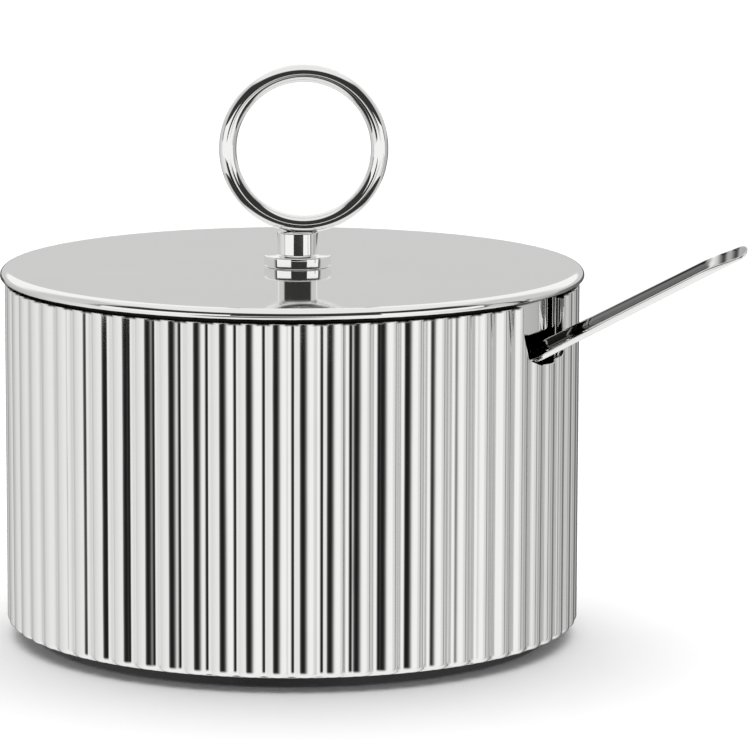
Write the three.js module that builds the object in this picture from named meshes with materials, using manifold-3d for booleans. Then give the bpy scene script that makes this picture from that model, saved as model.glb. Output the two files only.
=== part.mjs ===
// A lidded sugar bowl in polished silver plate, with its spoon: a reeded sleeve round a plain liner cup
// on a dark foot, a flat lid with a locating skirt and a ring knob, and a spoon whose handle leaves
// through a notch in the wall. Millimetres, +Z up. The origin is the centre of the foot's underside, and
// the ring knob faces -Y.
import * as THREE from "three";
import { LoftGeometry } from "three/addons/geometries/LoftGeometry.js";
import { mergeVertices } from "three/addons/utils/BufferGeometryUtils.js";
import Module from "manifold-3d";

const wasm = await Module();
wasm.setup();

// ---------------------------------------------------------------- driving dimensions
const SEAT_GAP = 0.3; // between pieces that rest on, or are soldered to, each other
const CUT_MARGIN = 1; // how far a cutter runs past what it cuts

const BODY_R = 45; // over the crests of the reeds
const WALL_TOP = 56.1; // height of the sleeve's upper edge
const REED_COUNT = 66;
const REED_R = 2.7; // radius of each convex reed
const REED_VALLEY_R = 1.1; // fillet between two reeds
const REED_PHASE = -51.9; // heading of one crest, in degrees from -Y towards +X
const SLEEVE_WALL = 0.45; // metal left behind a valley
const SLEEVE_EDGE_R = 1.1; // rounding of the sleeve's lower edge

const FOOT_HEIGHT = 2.2;
const FOOT_R = 40.5;
const FOOT_CHAMFER = 0.4;
const BASE_PLATE_T = 1;
const SLEEVE_DROP = 0.2; // how far the sleeve hangs below the base plate

const LINER_T = 0.6;
const LINER_FLOOR_R = 4; // inside radius between the liner's floor and wall
const LINER_STAND = 0.4; // how far the liner's rim stands above the sleeve

const NOTCH_HEADING = -30.2; // degrees from +X, turning about +Z
const NOTCH_WIDTH = 13.3;
const NOTCH_DEPTH = 9.8; // below the sleeve's upper edge
const NOTCH_FRONT_R = 6.5; // rounding of its lower corner towards -Y
const NOTCH_BACK_R = 1.2; // rounding of its other lower corner
const NOTCH_BACK_RISE = 0.5; // how far its bottom climbs towards that corner
const LINER_NOTCH_DROP = 0.8; // how far the liner's notch goes below the sleeve's

const LID_T = 1.6;
const LID_OVERHANG = 0.7; // past the crests of the reeds
const LID_EDGE_REACH = 1.3; // radial length of the soft edge on the lid's top
const LID_EDGE_DROP = 1.1; // height of that edge
const LID_UNDER_R = 0.45; // rounding below it
const SKIRT_CLEARANCE = 0.4; // between the skirt and the liner
const SKIRT_T = 0.9;
const SKIRT_H = 5.7;
const SKIRT_LIP_R = 0.35;

const KNOB_X = 0.85; // the knob stands this far to +X of the lid's centre
const FLANGE_R = 5.3;
const FLANGE_H = 1.5;
const NECK_R = 3.2;
const NECK_H = 3.1;
const NECK_FILLET_R = 0.5;
const RING_OUTER_R = 13.2;
const RING_WIRE_R = 1.35;
const RING_X = 0.95; // the ring is soldered this far to +X of the neck

const SCREW_R = 1.35;
const SCREW_REACH = 2.8; // into the knob
const SCREW_HEAD_R = 2.8;
const SCREW_HEAD_H = 1.6;
const SOCKET_FLATS = 2.5; // across the flats of the screw's six-sided socket
const SOCKET_DEPTH = 0.8;
const WASHER_R = 4.4;
const WASHER_T = 0.7;

const HANDLE_RISE = 28.2; // degrees above level
const HANDLE_TWIST = 40.3; // degrees that the handle's face leans towards -Y, lost in the bend below it
const HANDLE_REACH = 33; // level distance from the reeds' crests to the handle's tip
const HANDLE_W = 3.5; // at the notch
const HANDLE_TIP_W = 2.75;
const HANDLE_T = 1.25;
const HANDLE_TIP_T = 0.5;
const HANDLE_TIP_SLOPE = 8; // length over which the handle's top face falls to the tip
const HANDLE_END_R = 1.3; // length of the rounded end
const HANDLE_SEAT = 2.7; // height of the handle's centre line above the notch's bottom, at the crests
const CHANNEL_DEPTH = 0.4;
const CHANNEL_SHARE = 0.72; // of the handle's width
const CHANNEL_START = 5.6; // from the tip
const GROOVE_START = 1.9; // from the tip to the middle of the first groove
const GROOVE_PITCH = 2.1;
const GROOVE_DEPTH = 0.2;
const SHANK_W = 4.2;
const SHANK_T = 1.2;
const SHANK_WALL_GAP = 1.3; // between the shank's centre line and the liner, at its top
const SHANK_LEAN = 8.5; // how far the shank leans in on its way down
const SHANK_BEND_R = 1.6;
const SCOOP_LENGTH = 23;
const SCOOP_W = 17;
const SCOOP_DEPTH = 4.2;
const SCOOP_RISE = 3; // from the scoop's heel to its tip
const SCOOP_REST = 0.6; // between the underside of the scoop's middle and the liner's floor
const LOFT_INSET = 0.12; // from the spoon's ends to its first and last sections

const TURN_STEPS = 72; // facets round the large turned pieces
const SMALL_TURN_STEPS = 32;
const REED_STEPS = 4; // facets on one reed

// ---------------------------------------------------------------- heights and radii that follow
const sleeveBottom = FOOT_HEIGHT + SEAT_GAP - SLEEVE_DROP;
const basePlateZ = FOOT_HEIGHT + SEAT_GAP;
const linerZ = basePlateZ + BASE_PLATE_T + SEAT_GAP;
const linerFloor = linerZ + LINER_T;
const linerTop = WALL_TOP + LINER_STAND;
const lidZ = linerTop + SEAT_GAP;
const lidTop = lidZ + LID_T;
const lidR = BODY_R + LID_OVERHANG;

const reedHalfPitch = (Math.PI * BODY_R) / REED_COUNT;
const reedCentreRise = Math.sqrt((REED_R + REED_VALLEY_R) ** 2 - reedHalfPitch ** 2);
const reedDepth = REED_R + REED_VALLEY_R - reedCentreRise;
const sleeveInnerR = BODY_R - reedDepth - SLEEVE_WALL;
const linerR = sleeveInnerR - SEAT_GAP;
const linerInnerR = linerR - LINER_T;
const skirtR = linerInnerR - SKIRT_CLEARANCE;
const notchFloor = WALL_TOP - NOTCH_DEPTH;

const flangeZ = lidTop + SEAT_GAP;
const neckZ = flangeZ + FLANGE_H;
const neckTop = neckZ + NECK_H;
const ringCentreZ = neckTop + SEAT_GAP + RING_OUTER_R;
const washerTop = lidZ - SEAT_GAP;
const screwHeadTop = washerTop - WASHER_T - SEAT_GAP;
const screwTop = flangeZ + SCREW_REACH;

// ---------------------------------------------------------------- finishes
const silver = () => new THREE.MeshStandardMaterial({ color: 0xd9d9d6, metalness: 1, roughness: 0.08 });
const steel = () => new THREE.MeshStandardMaterial({ color: 0xb4b4b4, metalness: 1, roughness: 0.35 });
const darkFoot = () => new THREE.MeshStandardMaterial({ color: 0x2c2c2e, metalness: 0, roughness: 0.85 });

// ---------------------------------------------------------------- helpers
const v2 = (x, y) => new THREE.Vector2(x, y);
const degrees = THREE.MathUtils.degToRad;

// A geometry as a solid for joining and cutting.
function solid(geometry) {
  const bare = new THREE.BufferGeometry();
  bare.setAttribute("position", geometry.getAttribute("position"));
  bare.setIndex(geometry.getIndex());
  const merged = mergeVertices(bare, 1e-4);
  return new wasm.Manifold(
    new wasm.Mesh({
      numProp: 3,
      vertProperties: new Float32Array(merged.attributes.position.array),
      triVerts: new Uint32Array(merged.index.array),
    }),
  );
}

// A solid as a geometry again.
function geometryOf(made) {
  const mesh = made.getMesh();
  const geometry = new THREE.BufferGeometry();
  geometry.setAttribute("position", new THREE.BufferAttribute(new Float32Array(mesh.vertProperties), 3));
  geometry.setIndex(new THREE.BufferAttribute(new Uint32Array(mesh.triVerts), 1));
  geometry.computeVertexNormals();
  return geometry;
}

function named(name, geometry, material) {
  const mesh = new THREE.Mesh(geometry, material);
  mesh.name = name;
  return mesh;
}

// A profile of (radius, height) points, listed anticlockwise, turned about +Z.
function turned(profile, steps = TURN_STEPS) {
  return new THREE.LatheGeometry(profile, steps).rotateX(Math.PI / 2);
}

// Points on an arc of an ellipse from one angle to another, in degrees.
function arc(x, y, rx, ry, from, to, steps) {
  const points = [];
  for (let i = 0; i <= steps; i++) {
    const angle = degrees(from + ((to - from) * i) / steps);
    points.push(v2(x + rx * Math.cos(angle), y + ry * Math.sin(angle)));
  }
  return points;
}

// A straight round bar or hole from one height to another.
function bar(radius, from, to, steps = SMALL_TURN_STEPS) {
  return turned([v2(0, from), v2(radius, from), v2(radius, to), v2(0, to)], steps);
}

// ---------------------------------------------------------------- the bowl
// How far the reeded surface lies inside the crests, at a distance round the wall from a crest.
function reedFall(distance) {
  const meet = (reedHalfPitch * REED_R) / (REED_R + REED_VALLEY_R);
  if (distance < meet) return REED_R - Math.sqrt(REED_R ** 2 - distance ** 2);
  const across = reedHalfPitch - distance;
  return REED_R - reedCentreRise + Math.sqrt(REED_VALLEY_R ** 2 - across ** 2);
}

function reededOutline() {
  const points = [];
  for (let reed = 0; reed < REED_COUNT; reed++) {
    for (let step = 0; step < REED_STEPS; step++) {
      const along = step / REED_STEPS - 0.5; // from a valley to the next, in pitches
      const heading = ((reed + along) / REED_COUNT) * 2 * Math.PI + degrees(REED_PHASE - 90);
      const r = BODY_R - reedFall(Math.abs(along) * 2 * reedHalfPitch);
      points.push(v2(r * Math.cos(heading), r * Math.sin(heading)));
    }
  }
  return points;
}

// The notch's outline (across the wall, height) pushed out along the radius.
function notchCutter(floor) {
  const half = NOTCH_WIDTH / 2;
  const backR = Math.min(NOTCH_BACK_R, half / 2);
  const frontR = Math.min(NOTCH_FRONT_R, NOTCH_WIDTH - backR, NOTCH_DEPTH);
  const backFloor = floor + NOTCH_BACK_RISE;
  const top = lidTop + CUT_MARGIN;
  const outline = new THREE.Shape();
  outline.moveTo(-half, top);
  outline.absarc(frontR - half, floor + frontR, frontR, Math.PI, 1.5 * Math.PI);
  outline.quadraticCurveTo(frontR / 2, floor, half - backR, backFloor);
  outline.absarc(half - backR, backFloor + backR, backR, 1.5 * Math.PI, 2 * Math.PI);
  outline.lineTo(half, top);
  outline.closePath();
  const cutter = new THREE.ExtrudeGeometry(outline, { depth: BODY_R, bevelEnabled: false, curveSegments: 6 });
  cutter.rotateX(Math.PI / 2);
  cutter.rotateZ(Math.PI / 2);
  cutter.translate(BODY_R / 2, 0, 0);
  return solid(cutter.rotateZ(degrees(NOTCH_HEADING)));
}

function outerSleeve() {
  const outline = new THREE.Shape(reededOutline());
  const height = WALL_TOP - sleeveBottom;
  const reeded = new THREE.ExtrudeGeometry(outline, { depth: height, bevelEnabled: false });
  reeded.translate(0, 0, sleeveBottom);
  const past = BODY_R + CUT_MARGIN;
  const edge = SLEEVE_EDGE_R;
  const rounding = arc(BODY_R - edge, sleeveBottom + edge, edge, edge, -90, 0, 3);
  const envelope = [
    v2(sleeveInnerR, sleeveBottom),
    ...rounding,
    v2(past, sleeveBottom + 2 * edge),
    v2(past, WALL_TOP + CUT_MARGIN),
    v2(sleeveInnerR, WALL_TOP + CUT_MARGIN),
    v2(sleeveInnerR, sleeveBottom),
  ];
  return geometryOf(solid(reeded).intersect(solid(turned(envelope))).subtract(notchCutter(notchFloor)));
}

function linerCup() {
  const floorR = Math.min(LINER_FLOOR_R, linerInnerR / 2);
  const outerFloorR = floorR + LINER_T;
  const profile = [
    v2(0, linerZ),
    ...arc(linerR - outerFloorR, linerZ + outerFloorR, outerFloorR, outerFloorR, -90, 0, 5),
    v2(linerR, linerTop),
    v2(linerInnerR, linerTop),
    ...arc(linerInnerR - floorR, linerFloor + floorR, floorR, floorR, 0, -90, 5),
    v2(0, linerFloor),
  ];
  return geometryOf(solid(turned(profile)).subtract(notchCutter(notchFloor - LINER_NOTCH_DROP)));
}

function basePlate() {
  return bar(linerR, basePlateZ, basePlateZ + BASE_PLATE_T, TURN_STEPS);
}

function footPad() {
  return turned([
    v2(0, 0),
    v2(FOOT_R - FOOT_CHAMFER, 0),
    v2(FOOT_R, FOOT_CHAMFER),
    v2(FOOT_R, FOOT_HEIGHT),
    v2(0, FOOT_HEIGHT),
  ]);
}

// ---------------------------------------------------------------- the lid
function lidPlate() {
  const edge = arc(lidR - LID_EDGE_REACH, lidTop - LID_EDGE_DROP, LID_EDGE_REACH, LID_EDGE_DROP, 0, 90, 6);
  const under = arc(lidR - LID_UNDER_R, lidZ + LID_UNDER_R, LID_UNDER_R, LID_UNDER_R, -90, 0, 2);
  const blank = turned([v2(0, lidZ), ...under, ...edge, v2(0, lidTop)]);
  const hole = bar(SCREW_R + SEAT_GAP, lidZ - CUT_MARGIN, lidTop + CUT_MARGIN).translate(KNOB_X, 0, 0);
  return geometryOf(solid(blank).subtract(solid(hole)));
}

function lidSkirt() {
  const bottom = lidZ - SEAT_GAP - SKIRT_H;
  const inner = skirtR - SKIRT_T;
  return turned([
    v2(inner, bottom),
    v2(skirtR - SKIRT_LIP_R, bottom),
    v2(skirtR, bottom + SKIRT_LIP_R),
    v2(skirtR, lidZ - SEAT_GAP),
    v2(inner, lidZ - SEAT_GAP),
    v2(inner, bottom),
  ]);
}

function knobPost() {
  const filletR = NECK_FILLET_R;
  const fillet = arc(NECK_R + filletR, neckZ + filletR, filletR, filletR, -90, -180, 3);
  const boreR = SCREW_R + SEAT_GAP;
  return turned(
    [
      v2(boreR, flangeZ),
      v2(FLANGE_R, flangeZ),
      v2(FLANGE_R, neckZ),
      ...fillet,
      v2(NECK_R, neckTop),
      v2(0, neckTop),
      v2(0, screwTop + SEAT_GAP),
      v2(boreR, screwTop + SEAT_GAP),
      v2(boreR, flangeZ),
    ],
    SMALL_TURN_STEPS,
  ).translate(KNOB_X, 0, 0);
}

function knobRing() {
  const ring = new THREE.TorusGeometry(RING_OUTER_R - RING_WIRE_R, RING_WIRE_R, 12, 48);
  return ring.rotateX(Math.PI / 2).translate(KNOB_X + RING_X, 0, ringCentreZ);
}

function knobScrew() {
  const headBottom = screwHeadTop - SCREW_HEAD_H;
  const blank = turned(
    [
      v2(0, headBottom),
      v2(SCREW_HEAD_R - SCREW_HEAD_H / 3, headBottom),
      v2(SCREW_HEAD_R, headBottom + SCREW_HEAD_H / 2),
      v2(SCREW_HEAD_R, screwHeadTop),
      v2(SCREW_R, screwHeadTop),
      v2(SCREW_R, screwTop),
      v2(0, screwTop),
    ],
    SMALL_TURN_STEPS,
  );
  const socketR = SOCKET_FLATS / Math.sqrt(3);
  const socket = new THREE.CylinderGeometry(socketR, socketR, 2 * SOCKET_DEPTH, 6).rotateX(Math.PI / 2);
  socket.rotateZ(Math.PI / 6).translate(0, 0, headBottom);
  return geometryOf(solid(blank).subtract(solid(socket))).translate(KNOB_X, 0, 0);
}

function screwWasher() {
  const holeR = SCREW_R + SEAT_GAP;
  return turned(
    [
      v2(holeR, washerTop - WASHER_T),
      v2(WASHER_R, washerTop - WASHER_T),
      v2(WASHER_R, washerTop),
      v2(holeR, washerTop),
      v2(holeR, washerTop - WASHER_T),
    ],
    SMALL_TURN_STEPS,
  ).translate(KNOB_X, 0, 0);
}

// ---------------------------------------------------------------- the spoon
// The spoon's line is drawn in the upright plane of the notch: level distance from the bowl's axis, height.
const rise = degrees(HANDLE_RISE);
const seat = v2(BODY_R, notchFloor + HANDLE_SEAT);
const handleDirection = v2(Math.cos(rise), Math.sin(rise));

function spoonLine() {
  const tip = seat.clone().addScaledVector(handleDirection, HANDLE_REACH / Math.cos(rise));
  const shankX = linerInnerR - SHANK_WALL_GAP;
  const corner = v2(shankX, seat.y - (BODY_R - shankX) * Math.tan(rise));
  const heelZ = linerFloor + SCOOP_REST + SHANK_T / 2 + SCOOP_DEPTH - SCOOP_RISE / 2;
  const heel = v2(shankX - SHANK_LEAN, heelZ);
  const scoopTip = v2(heel.x - SCOOP_LENGTH, heelZ + SCOOP_RISE);
  const down = heel.clone().sub(corner).normalize();
  const inwards = scoopTip.clone().sub(heel).normalize();
  const line = new THREE.CurvePath();
  const bend = (before, at, after, radius) => {
    const from = at.clone().addScaledVector(before, -radius);
    const to = at.clone().addScaledVector(after, radius);
    return new THREE.QuadraticBezierCurve(from, at, to);
  };
  const topBend = bend(handleDirection.clone().negate(), corner, down, SHANK_BEND_R);
  const heelBend = bend(down, heel, inwards, 2 * SHANK_BEND_R);
  line.add(new THREE.LineCurve(tip, topBend.v0));
  line.add(topBend);
  line.add(new THREE.LineCurve(topBend.v2, heelBend.v0));
  line.add(heelBend);
  line.add(new THREE.LineCurve(heelBend.v2, scoopTip));
  return line;
}

const smooth = THREE.MathUtils.smoothstep;
const mix = THREE.MathUtils.lerp;
const halfRound = (share) => Math.sqrt(Math.max(0, 1 - share ** 2));

// Places of the sections along the line, as lengths from the handle's tip.
function spoonStations(marks) {
  const [handleEnd, shankStart, shankEnd, scoopStart, end] = marks;
  const stations = [];
  const spread = (from, to, steps) => {
    for (let i = 0; i < steps; i++) stations.push(from + ((to - from) * i) / steps);
  };
  spread(LOFT_INSET, HANDLE_END_R, 4);
  spread(HANDLE_END_R, CHANNEL_START, 12);
  spread(CHANNEL_START, CHANNEL_START + HANDLE_W, 4);
  spread(CHANNEL_START + HANDLE_W, handleEnd, 8);
  spread(handleEnd, shankStart, 5);
  spread(shankStart, shankEnd, 8);
  spread(shankEnd, scoopStart, 5);
  spread(scoopStart, end, 14);
  stations[stations.length - 1] = end - LOFT_INSET;
  return stations;
}

// One section: half its width, its thickness, the fall of its middle below its edges, what is cut from its
// top face, and its twist.
function spoonSection(s, marks) {
  const [handleEnd, shankStart, shankEnd, , end] = marks;
  const inTip = s < HANDLE_END_R ? halfRound((HANDLE_END_R - s) / HANDLE_END_R) : 1;
  const inShank = smooth(s, handleEnd, shankStart);
  const handleW = mix(HANDLE_TIP_W, HANDLE_W, s / handleEnd);
  const barHalf = (mix(handleW, SHANK_W, inShank) / 2) * inTip;
  const scoopHalfLength = (end - shankEnd) / 2;
  const scoopShare = (s - end + scoopHalfLength) / scoopHalfLength;
  const inScoop = halfRound(Math.min(1, Math.abs(scoopShare)));
  const scoopHalf = (SCOOP_W / 2) * inScoop;
  const full = mix(HANDLE_T, SHANK_T, inShank);
  const inChannel = smooth(s, CHANNEL_START, CHANNEL_START + HANDLE_W / 2) * (1 - inShank);
  const inGrooves = Math.abs(s - GROOVE_START - GROOVE_PITCH / 2) < GROOVE_PITCH;
  const wave = 0.5 + 0.5 * Math.cos((2 * Math.PI * (s - GROOVE_START)) / GROOVE_PITCH);
  return {
    half: scoopShare > 0 ? scoopHalf : Math.max(barHalf, scoopHalf),
    full,
    thick: mix(mix(HANDLE_TIP_T, HANDLE_T, smooth(s, 0, HANDLE_TIP_SLOPE)), SHANK_T, inShank),
    dish: SCOOP_DEPTH * inScoop ** 2,
    cut: CHANNEL_DEPTH * inChannel + (inGrooves ? GROOVE_DEPTH * wave : 0),
    twist: degrees(HANDLE_TWIST) * (1 - smooth(s, handleEnd - SHANK_BEND_R / 2, shankStart)),
  };
}

function spoon() {
  const line = spoonLine();
  const marks = line.getCurveLengths();
  const end = marks[marks.length - 1];
  const edge = (1 + CHANNEL_SHARE) / 2;
  const middle = CHANNEL_SHARE / 2;
  const across = [-1, -edge, -CHANNEL_SHARE, -middle, 0, middle, CHANNEL_SHARE, edge, 1];
  const sections = spoonStations(marks).map((s) => {
    const place = line.getPointAt(s / end);
    const direction = line.getTangentAt(s / end);
    const up = v2(direction.y, -direction.x);
    const { half, full, thick, dish, cut, twist } = spoonSection(s, marks);
    const at = (x, offset) => {
      const raised = half * x * Math.sin(twist) + offset * Math.cos(twist);
      const aside = half * x * Math.cos(twist) - offset * Math.sin(twist);
      return new THREE.Vector3(place.x + up.x * raised, aside, place.y + up.y * raised);
    };
    const under = (x) => -dish * (1 - x ** 2) - full / 2;
    const rounding = (x) => (Math.abs(x) === 1 ? thick / 4 : 0);
    const top = across.map((x) => {
      const inCut = Math.abs(x) < CHANNEL_SHARE ? cut : 0;
      return at(x, under(x) + thick - inCut - rounding(x));
    });
    const bottom = across.map((x) => at(x, under(x) + rounding(x)));
    return [...top, ...bottom.reverse()];
  });
  const loft = new LoftGeometry(sections, { capStart: true, capEnd: true });
  return geometryOf(solid(loft)).rotateZ(degrees(NOTCH_HEADING));
}

// ---------------------------------------------------------------- the assembly
const bowl = new THREE.Group();
bowl.add(named("outer_sleeve", outerSleeve(), silver()));
bowl.add(named("liner_cup", linerCup(), silver()));
bowl.add(named("base_plate", basePlate(), steel()));
bowl.add(named("foot_pad", footPad(), darkFoot()));

const lid = new THREE.Group();
lid.add(named("lid_plate", lidPlate(), silver()));
lid.add(named("lid_skirt", lidSkirt(), silver()));
lid.add(named("knob_post", knobPost(), silver()));
lid.add(named("knob_ring", knobRing(), silver()));
lid.add(named("knob_screw", knobScrew(), steel()));
lid.add(named("screw_washer", screwWasher(), steel()));

const sugarBowl = new THREE.Group();
sugarBowl.add(bowl, lid, named("spoon", spoon(), silver()));

export default sugarBowl;
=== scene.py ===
"""Visual model of a lidded, reeded sugar bowl with its spoon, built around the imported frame.

Every piece is a surface worked out over whole arrays, in metres, in the frame's own axes: +Z up, the ring
knob facing -Y. Sizes that a user might change are properties; places come from the frame's nodes.
"""

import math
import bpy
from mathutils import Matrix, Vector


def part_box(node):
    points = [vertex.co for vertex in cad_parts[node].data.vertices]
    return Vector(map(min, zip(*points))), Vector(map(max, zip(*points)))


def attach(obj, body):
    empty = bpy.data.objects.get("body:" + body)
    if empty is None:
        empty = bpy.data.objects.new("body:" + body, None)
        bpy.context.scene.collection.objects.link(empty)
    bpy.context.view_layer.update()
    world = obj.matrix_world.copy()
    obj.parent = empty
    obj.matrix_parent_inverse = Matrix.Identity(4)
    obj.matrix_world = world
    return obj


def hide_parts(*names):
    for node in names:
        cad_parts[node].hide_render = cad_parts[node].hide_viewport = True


bl_info = {
    "name": "Reeded Sugar Bowl",
    "version": (1, 0, 0),
    "blender": (4, 5, 0),
    "location": "View3D > Sidebar > Sugar Bowl",
    "description": "Builds a reeded sugar bowl with a ring-knob lid and a spoon around its solid frame",
    "category": "Add Mesh",
}

import bpy
import numpy as np
from bpy.props import FloatProperty, FloatVectorProperty, IntProperty, PointerProperty

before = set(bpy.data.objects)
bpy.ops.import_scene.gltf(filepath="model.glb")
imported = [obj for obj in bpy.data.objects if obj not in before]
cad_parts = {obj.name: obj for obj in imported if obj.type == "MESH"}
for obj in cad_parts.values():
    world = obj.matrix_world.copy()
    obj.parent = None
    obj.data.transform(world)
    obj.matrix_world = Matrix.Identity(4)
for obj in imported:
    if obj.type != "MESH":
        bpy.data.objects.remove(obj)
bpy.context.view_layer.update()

MM = 0.001
TAU = 2 * math.pi


def node_box(node):
    """A node's lowest and highest corner at rest, as arrays."""
    low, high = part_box(node)
    return np.array(low), np.array(high)


SLEEVE_LOW, SLEEVE_HIGH = node_box("outer_sleeve")
LINER_LOW, LINER_HIGH = node_box("liner_cup")
PLATE_LOW, PLATE_HIGH = node_box("base_plate")
FOOT_LOW, FOOT_HIGH = node_box("foot_pad")
LID_LOW, LID_HIGH = node_box("lid_plate")
SKIRT_LOW, SKIRT_HIGH = node_box("lid_skirt")
POST_LOW, POST_HIGH = node_box("knob_post")
RING_LOW, RING_HIGH = node_box("knob_ring")
SCREW_LOW, SCREW_HIGH = node_box("knob_screw")
WASHER_LOW, WASHER_HIGH = node_box("screw_washer")


def length(label, text, value):
    """A length property, in metres."""
    return FloatProperty(
        name=label, description=text, default=value, min=0.0, precision=5, subtype="DISTANCE"
    )


def amount(label, text, value):
    """A brightness or another plain number that can't fall below 0."""
    return FloatProperty(name=label, description=text, default=value, min=0.0)


def angle(label, text, degrees):
    """An angle property."""
    return FloatProperty(name=label, description=text, default=math.radians(degrees), subtype="ANGLE")


def share(label, text, value):
    """A property from 0 to 1."""
    return FloatProperty(name=label, description=text, default=value, min=0.0, max=1.0, subtype="FACTOR")


def hue(label, text, value):
    """A colour property."""
    return FloatVectorProperty(name=label, description=text, subtype="COLOR", default=value)


# ------------------------------------------------------------------ settings
class BowlSizes(bpy.types.PropertyGroup):
    """Sizes of the reeded wall, its notch, the liner and the foot."""

    reeds: IntProperty(name="Reeds", description="Number of reeds round the wall", default=66, min=3)
    reed_radius: length("Reed radius", "Radius of each convex reed", 2.7 * MM)
    valley_radius: length("Valley radius", "Radius of the fillet between two reeds", 1.1 * MM)
    reed_phase: angle("Reed phase", "Heading of one crest, from -Y towards +X", -51.9)
    sleeve_wall: length("Sleeve wall", "Metal left behind a valley", 0.45 * MM)
    hem: length("Hem rounding", "Rounding of the sleeve's lower edge", 1.1 * MM)
    lip: length("Lip rounding", "Rounding of the cut edges of the wall", 0.1 * MM)
    liner_wall: length("Liner wall", "Thickness of the liner", 0.6 * MM)
    liner_fillet: length("Liner fillet", "Inside radius between the liner's floor and wall", 4 * MM)
    notch_heading: angle("Notch heading", "Heading of the notch, from +X about +Z", -30.2)
    notch_width: length("Notch width", "Width of the notch", 13.3 * MM)
    notch_depth: length("Notch depth", "Depth of the notch below the sleeve's top", 9.8 * MM)
    notch_front: length("Notch front corner", "Rounding of its lower corner towards -Y", 6.5 * MM)
    notch_back: length("Notch back corner", "Rounding of its other lower corner", 1.2 * MM)
    notch_climb: length("Notch climb", "How far its bottom climbs towards that corner", 0.5 * MM)
    notch_shoulder: length("Notch shoulders", "Rounding where its sides meet the rim", 0.5 * MM)
    liner_drop: length("Liner drop", "How far the liner's notch goes below the sleeve's", 0.8 * MM)
    plate_edge: length("Plate edge", "Rounding of the base plate's edges", 0.15 * MM)
    foot_edge: length("Foot edge", "Rounding round the bottom of the foot pad", 0.4 * MM)


class LidSizes(bpy.types.PropertyGroup):
    """Sizes of the lid, its skirt and the knob."""

    edge_reach: length("Edge reach", "Radial length of the soft edge on the lid's top", 1.3 * MM)
    edge_drop: length("Edge drop", "Height of that edge", 1.1 * MM)
    under_round: length("Under rounding", "Rounding below the lid's edge", 0.45 * MM)
    skirt_wall: length("Skirt wall", "Thickness of the skirt", 0.9 * MM)
    skirt_lip: length("Skirt lip", "Rounding of the skirt's lower edge", 0.35 * MM)
    flange_height: length("Flange height", "Height of the knob's flange above the lid", 1.8 * MM)
    neck_radius: length("Neck radius", "Radius of the knob's neck", 3.2 * MM)
    neck_sink: length("Neck sink", "How far the ring is soldered into the neck", 0.25 * MM)
    knob_edge: length("Knob edge", "Rounding of the flange's and neck's edges", 0.22 * MM)
    hole_radius: length("Hole radius", "Radius of the screw's hole in the lid", 1.65 * MM)
    screw_radius: length("Screw radius", "Radius of the knob screw's shank", 1.35 * MM)
    screw_head: length("Screw head", "Height of the knob screw's head", 1.6 * MM)
    socket: length("Socket", "Width of the screw's six-sided socket across its flats", 2.5 * MM)


class SpoonSizes(bpy.types.PropertyGroup):
    """Sizes of the spoon, whose centre line lies in the upright plane of the notch."""

    rise: angle("Rise", "Slope of the handle", 28.2)
    twist: angle("Twist", "How far the handle's face leans towards -Y", 40.3)
    reach: length("Reach", "Level distance from the wall's crests to the handle's tip", 33 * MM)
    seat: length("Seat", "Height of the handle's centre line above the notch's bottom", 2.7 * MM)
    handle_width: length("Handle width", "Width of the handle at the notch", 3.5 * MM)
    tip_width: length("Tip width", "Width of the handle at its tip", 2.75 * MM)
    handle_thickness: length("Handle thickness", "Thickness of the handle", 1.25 * MM)
    tip_thickness: length("Tip thickness", "Thickness of the handle at its tip", 0.5 * MM)
    tip_slope: length("Tip slope", "Length over which the top face falls to the tip", 8 * MM)
    tip_round: length("Tip rounding", "Length of the rounded end", 1.3 * MM)
    channel_depth: length("Channel depth", "Depth of the handle's channel", 0.4 * MM)
    channel_share: share("Channel share", "Width of the channel, as a share of the handle's", 0.72)
    channel_start: length("Channel start", "From the tip to the channel's end", 5.6 * MM)
    groove_pitch: length("Groove pitch", "Distance between the grooves across the tip", 2.1 * MM)
    groove_start: length("Groove start", "From the tip to the middle of the first groove", 1.9 * MM)
    groove_depth: length("Groove depth", "Depth of those grooves", 0.2 * MM)
    shank_width: length("Shank width", "Width of the shank inside the bowl", 4.2 * MM)
    shank_thickness: length("Shank thickness", "Thickness of the shank and scoop", 1.2 * MM)
    shank_gap: length("Shank gap", "From the liner to the shank's centre line at its top", 1.3 * MM)
    shank_lean: length("Shank lean", "How far the shank leans in on its way down", 8.5 * MM)
    bend: length("Bend", "Length of each side of the bend below the handle", 1.6 * MM)
    scoop_length: length("Scoop length", "Length of the scoop", 23 * MM)
    scoop_width: length("Scoop width", "Width of the scoop", 17 * MM)
    scoop_depth: length("Scoop depth", "Depth of the scoop", 4.2 * MM)
    scoop_rise: length("Scoop rise", "How far the scoop's tip stands above its heel", 3 * MM)
    scoop_rest: length("Scoop rest", "Clearance between the scoop and the liner's floor", 0.6 * MM)


class BowlFinish(bpy.types.PropertyGroup):
    """Colours and surface qualities."""

    silver: hue("Silver", "Colour of the polished plate", (0.94, 0.938, 0.93))
    steel: hue("Steel", "Colour of the screw, washer and base plate", (0.60, 0.60, 0.61))
    foot: hue("Foot", "Colour of the foot pad", (0.036, 0.036, 0.038))
    polish: share("Polish roughness", "Roughness of clean polished silver", 0.035)
    smudge: share("Smudges", "Roughness that handling adds in patches", 0.06)
    wear: share("Wear", "Strength of the fine scratches", 0.5)
    # Painted shade: the crease between the rims and the lid is painted down to this share of the silver's
    # brightness.
    crease: share("Crease", "Brightness of the shaded crease under the lid, against clean silver", 0.03)
    # Painted shade: the spoon's channel and the face by its tip are painted down to this share of the
    # silver's brightness.
    painted_channel_shade: share("Sunk tarnish", "Brightness of the shaded channel, against clean silver", 0.06)
    sheet_ripple: length("Sheet ripple", "Height of the slow ripples left by forming the sheet", 0.012 * MM)


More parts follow.
